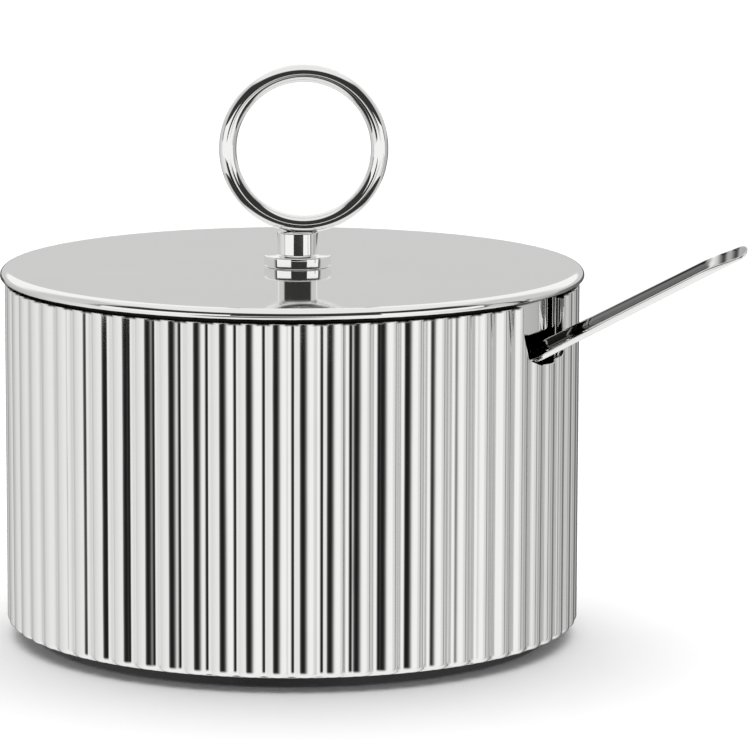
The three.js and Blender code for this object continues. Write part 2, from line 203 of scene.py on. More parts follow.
class Studio(bpy.types.PropertyGroup):
    """Floor, light and camera."""

    floor: hue("Floor", "Colour of the floor", (0.93, 0.93, 0.93))
    front: amount("Front", "Brightness of the studio behind the camera", 0.035)
    sides: amount("Sides", "Brightness of the sides, and of the back just above eye level", 0.62)
    high_sides: amount("High back", "Brightness of the back, higher up", 0.95)
    ceiling: amount("Ceiling", "Brightness of the white ceiling", 0.85)
    ground: amount("Ground", "Brightness of the ground far below", 0.9)
    reflector: amount("Reflector", "Brightness of the cards in front", 0.95)
    light: amount("Light", "Power of the soft light overhead, in watts", 54.0)
    light_size: length("Light size", "Width of the soft light", 3.2)
    light_height: length("Light height", "Height of the soft light above the floor", 2.4)
    light_back: length("Light offset", "How far the soft light hangs behind the bowl", 0.3)
    reflector_radius: length("Reflector radius", "From the bowl's axis to the cards in front", 300 * MM)
    lens: amount("Lens", "Focal length in millimetres", 240.03)
    shift: amount("Shift", "Sideways shift of the frame, as a share of it", 0.1104)
    distance: length("Camera distance", "Level distance from the bowl's axis to the camera", 775.3 * MM)
    height: length("Camera height", "Height of the camera above the floor", 170.6 * MM)
    tilt: angle("Tilt", "How far the camera looks down", 9.489)


# ------------------------------------------------------------------ surfaces
def smooth_step(value, start, stop):
    """0 before start, 1 after stop and 3t^2 - 2t^3 between."""
    t = np.clip((value - start) / (stop - start), 0, 1)
    return t * t * (3 - 2 * t)


def arc(x, y, rx, ry, start, stop, steps):
    """Points on an ellipse about (x, y) with radii rx and ry, from one angle to another, in degrees."""
    turn = np.radians(np.linspace(start, stop, steps))
    return np.stack([x + rx * np.cos(turn), y + ry * np.sin(turn)], axis=1)


def path(*stretches):
    """A profile of (radius, height) points: arcs and single points, one after another."""
    return np.concatenate([np.atleast_2d(np.asarray(s, float)) for s in stretches])


def crowded(steps):
    """Shares from 0 to 1, closer together towards both ends, so that a flat stretch stays flat beside a
    rounded edge."""
    return smooth_step(smooth_step(np.linspace(0, 1, steps), 0, 1), 0, 1)


def between(start, stop, steps):
    """Points on a straight line, crowded towards its ends, without the ends themselves."""
    t = crowded(steps + 2)[1:-1, None]
    return np.asarray(start) * (1 - t) + np.asarray(stop) * t


def polar(radius, heading, height):
    """Points at a radius and heading (from +X about +Z) round the bowl's axis."""
    x, y = radius * np.cos(heading), radius * np.sin(heading)
    return np.stack(np.broadcast_arrays(x, y, height), axis=-1)


def add_object(name, data):
    """A new object in the scene."""
    made = bpy.data.objects.new(name, data)
    bpy.context.collection.objects.link(made)
    return made


def surface(name, grid, poles=False):
    """A closed mesh object over a grid of rows of points. Each row closes on itself. The rows close on each
    other too, or, with poles, the first and last rows are single points where the skin is gathered."""
    rows, columns = grid.shape[:2]
    after = np.roll(np.arange(columns), -1)
    if poles:
        points = np.concatenate([grid[:1, 0], grid[1:-1].reshape(-1, 3), grid[-1:, 0]])
        ring = 1 + np.arange((rows - 2) * columns).reshape(rows - 2, columns)
        low, high = ring[:-1], ring[1:]
        first = np.stack([np.zeros(columns, int), ring[0], ring[0][after]], axis=1)
        last = np.stack([np.full(columns, len(points) - 1), ring[-1][after], ring[-1]], axis=1)
        fans = np.concatenate([first, last])
    else:
        points = grid.reshape(-1, 3)
        low = np.arange(rows * columns).reshape(rows, columns)
        high = np.roll(low, -1, axis=0)
        fans = np.zeros((0, 3), int)
    quads = np.stack([low, high, high[:, after], low[:, after]], axis=-1).reshape(-1, 4)
    corners = points[quads]
    volume = np.sum(corners[:, 0] * np.cross(corners[:, 1], corners[:, 2]))
    volume += np.sum(corners[:, 0] * np.cross(corners[:, 2], corners[:, 3]))
    caps = points[fans]
    volume += np.sum(caps[:, 0] * np.cross(caps[:, 1], caps[:, 2]))
    if volume < 0:
        quads, fans = quads[:, ::-1], fans[:, ::-1]
    mesh = bpy.data.meshes.new(name)
    mesh.vertices.add(len(points))
    mesh.vertices.foreach_set("co", points.astype(np.float32).ravel())
    loops = np.concatenate([quads.ravel(), fans.ravel()]).astype(np.int32)
    mesh.loops.add(len(loops))
    mesh.loops.foreach_set("vertex_index", loops)
    sizes = np.concatenate([np.full(len(quads), 4), np.full(len(fans), 3)])
    starts = np.concatenate([[0], np.cumsum(sizes)[:-1]]).astype(np.int32)
    mesh.polygons.add(len(sizes))
    mesh.polygons.foreach_set("loop_start", starts)
    mesh.polygons.foreach_set("use_smooth", np.ones(len(sizes), bool))
    mesh.update(calc_edges=True)
    mesh.validate()
    return add_object(name, mesh)


def note(piece, name, values):
    """Gives each of a piece's points a number that its finish can read."""
    layer = piece.data.attributes.new(name, "FLOAT", "POINT")
    layer.data.foreach_set("value", values.astype(np.float32))


def turned(name, profile, columns=256, shift_x=0.0, poles=True):
    """A turned piece: the profile's (radius, height) points carried round +Z."""
    heading = np.arange(columns) * TAU / columns
    grid = polar(profile[:, :1], heading[None], profile[:, 1:])
    grid[..., 0] += shift_x
    return surface(name, grid, poles)


def place(piece, body, node, finish):
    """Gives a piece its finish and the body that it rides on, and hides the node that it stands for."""
    piece.data.materials.append(finish)
    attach(piece, body)
    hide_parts(node)
    return piece


# ------------------------------------------------------------------ finishes
# How fine each pattern is, in cycles per metre.
PATCH_SCALE = 55.0
TARNISH_SCALE = 38.0
SPECK_SCALE = 2600.0
SCRATCH_STRETCH = (900.0, 900.0, 5200.0)
SCRATCH_DEPTH = 0.0012 * MM
LATHE_SCALE = 9000.0
STAIN_SCALE = 120.0
GRAIN_SCALE = 3800.0
SCUFF_SCALE = 260.0
PAINTED_SHADE_ATTRIBUTE = "tarnish_and_painted_shade"  # the name of a mesh's own attribute of painted shade
# The crease between the rims and the lid, where shade is painted into the colour, in metres: radii and
# heights where the painted shade starts and ends.
CREASE_RADII = np.array((41.8, 42.4, 44.6, 44.95)) * MM
CREASE_HEIGHTS = np.array((55.6, 56.0, 56.85, 56.95)) * MM


class Wire:
    """A node's output that can be used in sums. Each operation adds a Math node to the finish."""

    def __init__(self, finish, socket):
        self.finish = finish
        self.socket = socket

    def math(self, operation, first, second=None):
        values = {0: first} if second is None else {0: first, 1: second}
        return self.finish.node("ShaderNodeMath", {"operation": operation}, values)

    def __add__(self, other):
        return self.math("ADD", self, other)

    __radd__ = __add__

    def __sub__(self, other):
        return self.math("SUBTRACT", self, other)

    def __rsub__(self, other):
        return self.math("SUBTRACT", other, self)

    def __mul__(self, other):
        return self.math("MULTIPLY", self, other)

    __rmul__ = __mul__


class Graph:
    """A node tree under construction."""

    def __init__(self, tree):
        self.tree = tree

    def node(self, kind, settings, values, output=0):
        """Adds a node, sets its settings, then fills its sockets with numbers or wires."""
        made = self.tree.nodes.new(kind)
        for key, value in settings.items():
            setattr(made, key, value)
        for key, value in values.items():
            self.fill(made.inputs[key], value)
        return Wire(self, made.outputs[output])

    def fill(self, socket, value):
        if isinstance(value, Wire):
            self.tree.links.new(value.socket, socket)
        else:
            socket.default_value = value

    def space(self, stretch=(1, 1, 1)):
        """The piece's own coordinates in metres, stretched along its axes."""
        own = self.node("ShaderNodeTexCoord", {}, {}, "Object")
        return self.node("ShaderNodeMapping", {}, {"Vector": own, "Scale": stretch})

    def noise(self, where, scale, detail=3.0, rough=0.5):
        values = {"Vector": where, "Scale": scale, "Detail": detail, "Roughness": rough}
        return self.node("ShaderNodeTexNoise", {}, values)

    def limit(self, value, start, stop):
        """A smooth 0 to 1 between two values."""
        return self.node(
            "ShaderNodeMapRange",
            {"interpolation_type": "SMOOTHSTEP"},
            {"Value": value, "From Min": start, "From Max": stop},
        )

    def radius(self, own):
        """Distance from the bowl's axis."""
        flat = self.node("ShaderNodeVectorMath", {"operation": "MULTIPLY"}, {0: own, 1: (1, 1, 0)})
        return self.node("ShaderNodeVectorMath", {"operation": "LENGTH"}, {0: flat}, "Value")

    def crease(self, radii, heights):
        """1 inside a band of radii about +Z and a band of heights, in the piece's own coordinates. Each
        band is (0 before, 1 after, 1 until, 0 beyond)."""
        own = self.node("ShaderNodeTexCoord", {}, {}, "Object")
        radius = self.radius(own)
        height = self.node("ShaderNodeSeparateXYZ", {}, {0: own}, "Z")
        mask = 1
        for value, (before, after, until, beyond) in ((radius, radii), (height, heights)):
            mask = self.limit(value, before, after) * (1 - self.limit(value, until, beyond)) * mask
        return mask

    def blend(self, mask, first, second):
        """A colour between two colours."""
        return self.node("ShaderNodeMix", {"data_type": "RGBA"}, {0: mask, 6: first, 7: second}, 2)

    def heading_and_rise(self, direction):
        """A direction's heading from -Y towards +X, in turns from -0.5 to 0.5, and its height."""
        apart = self.node("ShaderNodeSeparateXYZ", {}, {0: direction})
        across, away, rise = (Wire(self, output) for output in apart.socket.node.outputs)
        turn = self.node("ShaderNodeMath", {"operation": "ARCTAN2"}, {0: across, 1: 0 - away})
        return turn * (1 / TAU), rise

    def ramp(self, position, stops):
        """Greys between stops of (position, brightness)."""
        made = self.node("ShaderNodeValToRGB", {}, {0: position})
        elements = made.socket.node.color_ramp.elements
        while len(elements) < len(stops):
            elements.new(0.5)
        for element, (at, brightness) in zip(elements, stops):
            element.position = at
            element.color = grey(brightness)
        return made

    def bump(self, height, distance, strength=1.0, under=None):
        values = {"Height": height, "Distance": distance, "Strength": strength}
        if under is not None:
            values["Normal"] = under
        return self.node("ShaderNodeBump", {}, values)


class Finish(Graph):
    """A material under construction, with one Principled shader."""

    def __init__(self, name):
        self.material = bpy.data.materials.new(name)
        self.material.use_nodes = True
        super().__init__(self.material.node_tree)
        self.shader = next(n for n in self.tree.nodes if n.type == "BSDF_PRINCIPLED")

    def shade(self, **values):
        """Fills the shader's sockets; Base_Color stands for Base Color."""
        for key, value in values.items():
            self.fill(self.shader.inputs[key.replace("_", " ")], value)
        return self.material


def grey(brightness):
    """A grey as a socket's four numbers."""
    return (brightness, brightness, brightness, 1)


def opaque(colour, factor=1.0):
    """A colour property as a socket's four numbers, darkened by a factor."""
    return (*[c * factor for c in colour], 1.0)


def polished_silver(name, scene, ripple_stretch, ripple_scale, smudge_share=1.0, ripple_share=1.0):
    """Mirror-polished plate: slow ripples of the formed sheet and fine scratches in the normal, patches of
    handling in the roughness and a faint random tarnishing in the colour. Black shade is painted into the
    colour in the crease under the lid, which is also rougher, and shade is painted wherever the piece's own
    attribute of painted shade says."""
    look = scene.bowl_finish
    finish = Finish(name)
    own = finish.space()
    patches = finish.limit(finish.noise(own, PATCH_SCALE, 4.0, 0.6), 0.46, 0.74)
    specks = finish.limit(finish.noise(own, SPECK_SCALE, 2.0), 0.58, 0.8)
    scratches = finish.noise(finish.space(SCRATCH_STRETCH), 1.0, 4.0, 0.7)
    hairlines = finish.limit(scratches, 0.6, 0.72)
    roughness = look.polish + patches * (look.smudge * smudge_share) + hairlines * (0.05 * look.wear)
    tarnish_and_painted_shade = finish.limit(finish.noise(own, TARNISH_SCALE, 5.0, 0.65), 0.5, 0.85)
    clean = finish.blend(tarnish_and_painted_shade * 0.5 + specks * 0.06, opaque(look.silver), opaque(look.silver, 0.93))
    # Painted shade: the crease between the rims and the lid is darkened almost to black in colour.
    crease = finish.crease(CREASE_RADII, CREASE_HEIGHTS)
    crease_shaded = finish.blend(crease, clean, opaque(look.silver, look.crease))
    # Painted shade: the piece's own attribute darkens the colour where it says.
    painted_channel_shade = finish.node("ShaderNodeAttribute", {"attribute_name": PAINTED_SHADE_ATTRIBUTE}, {}, "Fac")
    colour = finish.blend(painted_channel_shade, crease_shaded, opaque(look.silver, look.painted_channel_shade))
    waves = finish.noise(finish.space(ripple_stretch), ripple_scale, 2.0)
    ripples = finish.bump(waves, look.sheet_ripple * ripple_share)
    fine = finish.bump(scratches, SCRATCH_DEPTH * look.wear, 0.6, ripples)
    return finish.shade(Base_Color=colour, Metallic=1.0, Roughness=roughness + crease * 0.4, Normal=fine)


def plain_steel(scene):
    """Turned steel: fine rings about the axis, with stains in the roughness."""
    look = scene.bowl_finish
    finish = Finish("turned_steel")
    own = finish.node("ShaderNodeTexCoord", {}, {}, "Object")
    lathe = {"W": finish.radius(own), "Scale": LATHE_SCALE}
    rings = finish.node("ShaderNodeTexNoise", {"noise_dimensions": "1D"}, lathe)
    stains = finish.noise(own, STAIN_SCALE, 4.0)
    return finish.shade(
        Base_Color=finish.blend(stains, opaque(look.steel, 0.85), opaque(look.steel)),
        Metallic=1.0,
        Roughness=0.26 + stains * 0.16,
        Normal=finish.bump(rings, 0.01 * MM, 0.5),
    )


def foot_rubber(scene):
    """Matt dark pad: a fine grain in the normal and paler scuffs."""
    look = scene.bowl_finish
    finish = Finish("foot_rubber")
    own = finish.space()
    grain = finish.noise(own, GRAIN_SCALE, 3.0, 0.6)
    scuffs = finish.limit(finish.noise(finish.space((1, 1, 6)), SCUFF_SCALE, 4.0, 0.65), 0.45, 0.75)
    return finish.shade(
        Base_Color=finish.blend(scuffs, opaque(look.foot), opaque(look.foot, 2.2)),
        Roughness=0.5 + scuffs * 0.3,
        Normal=finish.bump(grain, 0.05 * MM, 0.7),
    )


# ------------------------------------------------------------------ the bowl
def reed_fall(sizes, body_radius, heading):
    """How far the reeded surface lies inside the crests at a heading from +X. Across a pitch the surface is
    a convex arc of the reed's radius, tangent to a concave arc of the valley's radius at either end."""
    pitch = TAU / sizes.reeds
    half = body_radius * pitch / 2
    crest = sizes.reed_phase - math.pi / 2
    across = np.abs(np.mod(heading - crest + pitch / 2, pitch) - pitch / 2) * body_radius
    centres = sizes.reed_radius + sizes.valley_radius
    rise = math.sqrt(centres**2 - half**2)
    meet = half * sizes.reed_radius / centres
    convex = sizes.reed_radius - np.sqrt(sizes.reed_radius**2 - np.minimum(across, meet) ** 2)
    to_valley = np.clip(half - across, 0, half - meet)
    concave = sizes.reed_radius - rise + np.sqrt(sizes.valley_radius**2 - to_valley**2)
    return np.where(across < meet, convex, concave)


def reed_depth(sizes, body_radius):
    """From the crests to the bottom of the valleys."""
    half = body_radius * math.pi / sizes.reeds
    centres = sizes.reed_radius + sizes.valley_radius
    return centres - math.sqrt(centres**2 - half**2)


def rim_line(sizes, body_radius, top, drop, columns):
    """The upper edge of a notched wall, unrolled: heading, height and the direction out of the metal
    (round the wall, up) of points along it. Round the notch it goes over a rounded shoulder, down the side,
    round a wide quarter circle, along a bottom that climbs as a parabola, round a tight quarter circle
    and up."""
    half, shoulder = sizes.notch_width / 2, sizes.notch_shoulder
    front, back = sizes.notch_front, sizes.notch_back
    floor = SLEEVE_HIGH[2] - sizes.notch_depth - drop
    back_floor = floor + sizes.notch_climb
    low_front, low_back = np.array((front - half, floor)), np.array((half - back, back_floor))
    line = path(
        arc(-half - shoulder, top - shoulder, shoulder, shoulder, 90, 0, 10),
        between((-half, top - shoulder), (-half, floor + front), 16),
        arc(front - half, floor + front, front, front, 180, 270, 34),
        bezier(low_front, np.array((front / 2, floor)), low_back, 34)[1:-1],
        arc(half - back, back_floor + back, back, back, 270, 360, 16),
        between((half, back_floor + back), (half, top - shoulder), 20),
        arc(half + shoulder, top - shoulder, shoulder, shoulder, 180, 90, 10),
    )
    step = np.gradient(line, axis=0)
    step /= np.linalg.norm(step, axis=1, keepdims=True)
    out = np.stack([-step[:, 1], step[:, 0]], axis=1)
    notch_heading = sizes.notch_heading + np.arcsin(line[:, 0] / body_radius)
    start, stop = notch_heading[-1], notch_heading[0] + TAU
    plain = np.linspace(start, stop, columns + 2)[1:-1]
    heading = np.concatenate([notch_heading, plain])
    height = np.concatenate([line[:, 1], np.full(columns, top)])
    around = np.concatenate([out[:, 0], np.zeros(columns)])
    up = np.concatenate([out[:, 1], np.ones(columns)])
    return heading, height, around / body_radius, up


def wall_rows(sizes, line, radius_out, radius_in, low_out, low_in, rows_out, rows_in):
    """Rows of points up the outside of a notched wall, over its lip and down the inside. radius_out is a
    function of heading. The lip is a half-round drawn back from the rim line along the wall."""
    heading, height, around, up = line
    lip = sizes.lip
    rows = []

    def row(part, low, back, inset, outside):
        turn = heading - around * back
        top = height - up * back
        z = low + (top - low) * part
        radius = radius_out(turn) - inset if outside else radius_in + inset
        rows.append(polar(radius, turn, z))

    quarter = np.radians(np.linspace(0, 90, 6))
    for part in crowded(rows_out)[:-1]:
        row(part, low_out, lip, 0, True)
    for turn in quarter:
        row(1, low_out, lip * (1 - math.sin(turn)), lip * (1 - math.cos(turn)), True)
    for turn in quarter[::-1]:
        row(1, low_in, lip * (1 - math.sin(turn)), lip * (1 - math.cos(turn)), False)
    for part in crowded(rows_in)[::-1][1:]:
        row(part, low_in, lip, 0, False)
    return rows


def outer_sleeve(sizes):
    """The reeded wall: a plain cylinder inside, reeds outside, a rounded hem below and the notch above."""
    body_radius = SLEEVE_HIGH[0]
    low, top = SLEEVE_LOW[2], SLEEVE_HIGH[2]
    inner = body_radius - reed_depth(sizes, body_radius) - sizes.sleeve_wall
    line = rim_line(sizes, body_radius, top, 0, sizes.reeds * 28)

    def outside(heading):
        return body_radius - reed_fall(sizes, body_radius, heading)

    heading = line[0]
    hem = []
    for turn in np.radians(np.linspace(90, 0, 10)[:-1]):
        radius = outside(heading) - sizes.hem * (1 - math.cos(turn))
        hem.append(polar(radius, heading, low + sizes.hem * (1 - math.sin(turn))))
    rows = wall_rows(sizes, line, outside, inner, low + sizes.hem, low, 22, 12)
    return surface("outer_sleeve_reeded", np.stack(hem + rows))


def liner_cup(sizes):
    """The plain cup inside the sleeve: floor, filleted wall and rim, notched like the sleeve."""
    radius, low, top = LINER_HIGH[0], LINER_LOW[2], LINER_HIGH[2]
    wall, fillet = sizes.liner_wall, sizes.liner_fillet
    inner, floor = radius - wall, low + wall
    line = rim_line(sizes, SLEEVE_HIGH[0], top, sizes.liner_drop, 300)
    heading = line[0]

    def outside(turn):
        return np.full_like(turn, radius)

    outer_fillet = fillet + wall
    turn_out, turn_in = radius - outer_fillet, inner - fillet
    under = path(
        (0, low),
        between((0, low), (turn_out, low), 5),
        arc(turn_out, low + outer_fillet, outer_fillet, outer_fillet, -90, 0, 12)[:-1],
    )
    above = path(
        arc(turn_in, floor + fillet, fillet, fillet, 0, -90, 12)[1:],
        between((turn_in, floor), (0, floor), 5),
        (0, floor),
    )
    low_out, low_in = low + outer_fillet, floor + fillet
    rows = [polar(r, heading, z) for r, z in under]
    rows += wall_rows(sizes, line, outside, inner, low_out, low_in, 14, 18)
    rows += [polar(r, heading, z) for r, z in above]
    return surface("liner_cup_plain", np.stack(rows), poles=True)


def disc(name, low, high, low_edge, high_edge, low_steps, high_steps):
    """A flat disc between a node's lowest and highest corner, its edges rounded to quarter circles."""
    radius = high[0]
    profile = path(
        (0, low[2]),
        between((0, low[2]), (radius - low_edge, low[2]), 6),
        arc(radius - low_edge, low[2] + low_edge, low_edge, low_edge, -90, 0, low_steps),
        arc(radius - high_edge, high[2] - high_edge, high_edge, high_edge, 0, 90, high_steps),
        (0, high[2]),
    )
    return turned(name, profile)


def base_plate(sizes):
    """The flat steel disc that closes the sleeve, with broken edges."""
    return disc("base_plate_disc", PLATE_LOW, PLATE_HIGH, sizes.plate_edge, sizes.plate_edge, 4, 4)


def foot_pad(sizes):
    """The dark pad, softened where it meets the table and along its upper edge."""
    return disc("foot_pad_rubber", FOOT_LOW, FOOT_HIGH, sizes.foot_edge, sizes.foot_edge / 2, 7, 5)


# ------------------------------------------------------------------ the lid
def lid_plate(sizes, knob_x):
    """The lid: a flat top, a soft elliptical edge and a small rounding below it, with the screw's hole.
    Rows near the hole are centred on the knob and slide back to the lid's centre as they widen."""
    radius, low, high = LID_HIGH[0], LID_LOW[2], LID_HIGH[2]
    hole = sizes.hole_radius
    reach, drop, under = sizes.edge_reach, sizes.edge_drop, sizes.under_round
    profile = path(
        (hole, low),
        between((hole, low), (radius - under, low), 12),
        arc(radius - under, low + under, under, under, -90, 0, 8),
        arc(radius - reach, high - drop, reach, drop, 0, 90, 40),
        between((radius - reach, high), (hole, high), 14),
        (hole, high),
    )
    heading = np.arange(384) * TAU / 384
    grid = polar(profile[:, :1], heading[None], profile[:, 1:])
    grid[..., 0] += knob_x * (1 - smooth_step(profile[:, :1], hole, radius / 2))
    return surface("lid_plate_polished", grid)


def lid_skirt(sizes):
    """The ring under the lid: filleted into the lid's underside outside, with a rounded lip below."""
    radius, low, high = SKIRT_HIGH[0], SKIRT_LOW[2], LID_LOW[2]
    inner, lip = radius - sizes.skirt_wall, sizes.skirt_lip
    profile = path(
        arc(inner + lip, low + lip, lip, lip, 180, 270, 7),
        arc(radius - lip, low + lip, lip, lip, 270, 360, 7),
        between((radius, low + lip), (radius, high - lip), 4),
        arc(radius + lip, high - lip, lip, lip, 180, 90, 7),
        (inner, high),
        between((inner, high), (inner, low + lip), 4),
    )
    return turned("lid_skirt_ring", profile, columns=320, poles=False)


def knob_post(sizes, knob_x):
    """Flange and neck: a flat foot on the lid, broken edges, a tight fillet and a flat top for the ring."""
    flange = (POST_HIGH[0] - POST_LOW[0]) / 2
    low = LID_HIGH[2]
    step = low + sizes.flange_height
    top = RING_LOW[2] + sizes.neck_sink
    neck, edge = sizes.neck_radius, sizes.knob_edge
    profile = path(
        (0, low),
        arc(flange - edge, low + edge, edge, edge, -90, 0, 6),
        arc(flange - edge, step - edge, edge, edge, 0, 90, 6),
        arc(neck + edge, step + edge, edge, edge, -90, -180, 6),
        arc(neck - edge, top - edge, edge, edge, 0, 90, 6),
        (0, top),
    )
    return turned("knob_post_turned", profile, columns=128, shift_x=knob_x)


def knob_ring():
    """A plain round ring of round wire, standing on edge and facing -Y."""
    wire = RING_HIGH[1]
    radius = (RING_HIGH[0] - RING_LOW[0]) / 2 - wire
    centre = (RING_LOW + RING_HIGH) / 2
    around = (np.arange(256) * TAU / 256)[None]
    section = (np.arange(48) * TAU / 48)[:, None]
    reach = radius + wire * np.cos(section)
    x, y, z = reach * np.cos(around), wire * np.sin(section), reach * np.sin(around)
    return surface("knob_ring_wire", np.stack(np.broadcast_arrays(x, y, z), -1) + centre)


def knob_screw(sizes, knob_x):
    """A button-headed screw seen from below: shank, rounded head and a six-sided socket. Round the socket a
    row's radius follows the hexagon's flats; further out it is a circle."""
    head, low, high = (SCREW_HIGH[0] - SCREW_LOW[0]) / 2, SCREW_LOW[2], SCREW_HIGH[2]
    seat = low + sizes.screw_head
    shank, crown = sizes.screw_radius, sizes.screw_head * 0.55
    socket_floor = low + sizes.screw_head * 0.5
    flats = sizes.socket / 2
    heading = (np.arange(96) * TAU / 96)[None]
    hexagon = flats / np.cos(np.mod(heading, TAU / 6) - TAU / 12)
    round_rows = path(
        arc(head - crown, low + crown, crown, crown, -90, 0, 10),
        (head, seat),
        (shank, seat),
        (shank, high - shank / 3),
        (shank * 0.7, high),
        (0, high),
    )
    hex_rows = [
        (0.0, socket_floor),
        (0.5, socket_floor),
        (0.97, socket_floor),
        (1.0, socket_floor + 0.03 * MM),
        (1.0, low + 0.05 * MM),
        (1.04, low),
    ]
    rows = [polar(hexagon[0] * k, heading[0], z) for k, z in hex_rows]
    rows += [polar(r, heading[0], z) for r, z in round_rows]
    grid = np.stack(rows)
    grid[..., 0] += knob_x
    return surface("knob_screw_button", grid, poles=True)


def screw_washer(sizes, knob_x):
    """A plain washer with rounded punched edges."""
    radius, low, high = (WASHER_HIGH[0] - WASHER_LOW[0]) / 2, WASHER_LOW[2], WASHER_HIGH[2]
    hole, edge = sizes.hole_radius, 0.12 * MM
    profile = path(
        arc(hole + edge, low + edge, edge, edge, 180, 270, 4),
        arc(radius - edge, low + edge, edge, edge, 270, 360, 4),
        arc(radius - edge, high - edge, edge, edge, 0, 90, 4),
        arc(hole + edge, high - edge, edge, edge, 90, 180, 4),
    )
    return turned("screw_washer_plain", profile, columns=96, shift_x=knob_x, poles=False)


# ------------------------------------------------------------------ the spoon
# Points along the stretches of its centre line.
HANDLE_ROWS = 60
BEND_ROWS = 40
SHANK_ROWS = 30
SCOOP_ROWS = 80


def bezier(start, middle, stop, steps):
    """A quadratic curve from start to stop, pulled towards middle."""
    t = np.linspace(0, 1, steps)[:, None]
    return start * (1 - t) ** 2 + 2 * middle * t * (1 - t) + stop * t**2


def spoon_line(bowl, sizes):
    """The spoon's centre line in the notch's upright plane, from the handle's tip to the scoop's, with the
    lengths along it at which the handle ends, the shank begins and the shank ends."""
    body, inner = SLEEVE_HIGH[0], LINER_HIGH[0] - bowl.liner_wall
    floor = LINER_LOW[2] + bowl.liner_wall
    seat = np.array([body, SLEEVE_HIGH[2] - bowl.notch_depth + sizes.seat])
    along = np.array([math.cos(sizes.rise), math.sin(sizes.rise)])
    tip = seat + along * sizes.reach / along[0]
    shank_x = inner - sizes.shank_gap
    corner = np.array([shank_x, seat[1] - (body - shank_x) * math.tan(sizes.rise)])
    scoop_under = floor + sizes.scoop_rest + sizes.shank_thickness / 2
    heel_z = scoop_under + sizes.scoop_depth - sizes.scoop_rise / 2
    heel = np.array([shank_x - sizes.shank_lean, heel_z])
    end = heel + np.array([-sizes.scoop_length, sizes.scoop_rise])
    down = (heel - corner) / np.linalg.norm(heel - corner)
    inward = (end - heel) / np.linalg.norm(end - heel)
    bends = [corner + along * sizes.bend, corner + down * sizes.bend,
             heel - down * 2 * sizes.bend, heel + inward * 2 * sizes.bend]
    points = path(
        tip,
        between(tip, bends[0], HANDLE_ROWS),
        bezier(bends[0], corner, bends[1], BEND_ROWS),
        between(bends[1], bends[2], SHANK_ROWS),
        bezier(bends[2], heel, bends[3], BEND_ROWS),
        between(bends[3], end, SCOOP_ROWS),
        end,
    )
    lengths = np.concatenate([[0], np.cumsum(np.linalg.norm(np.diff(points, axis=0), axis=1))])
    marks = [1 + HANDLE_ROWS, HANDLE_ROWS + BEND_ROWS, 1 + HANDLE_ROWS + BEND_ROWS + SHANK_ROWS]
    return points, lengths, lengths[marks]


